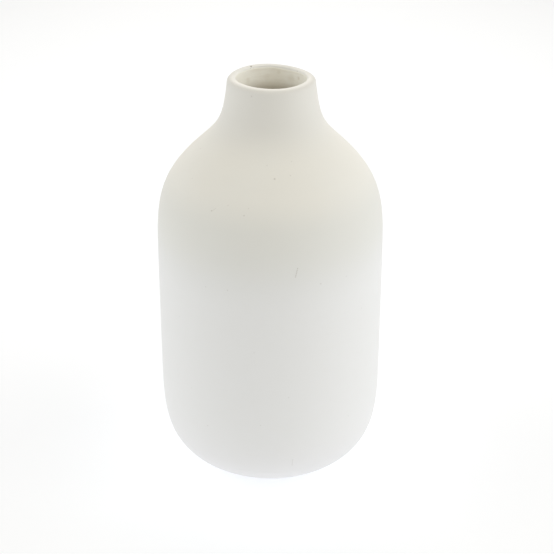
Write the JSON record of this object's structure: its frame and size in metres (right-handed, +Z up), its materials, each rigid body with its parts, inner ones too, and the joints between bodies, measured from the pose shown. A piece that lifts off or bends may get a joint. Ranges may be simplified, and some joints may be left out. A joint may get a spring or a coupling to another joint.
{
  "type": "bud vase",
  "caption": "Bottle-shaped ceramic bud vase: matt clay body with rounded base, straight wall, sloping shoulder, narrow neck and rounded lip, glazed inside.",
  "frame": {"origin": "centre of the foot's resting face, on the turning axis", "axes": "+Z up along the turning axis, -Y the front"},
  "size_m": [0.065, 0.065, 0.12],
  "materials": {
    "bisque": "matt unglazed off-white clay with a fine grain and sparse dark specks",
    "inner_glaze": "satin warm white glaze, uneven at its edge"
  },
  "bodies": {
    "root": {"vase_body": "bisque", "inner_glaze": "inner_glaze"}
  },
  "joints": []
}
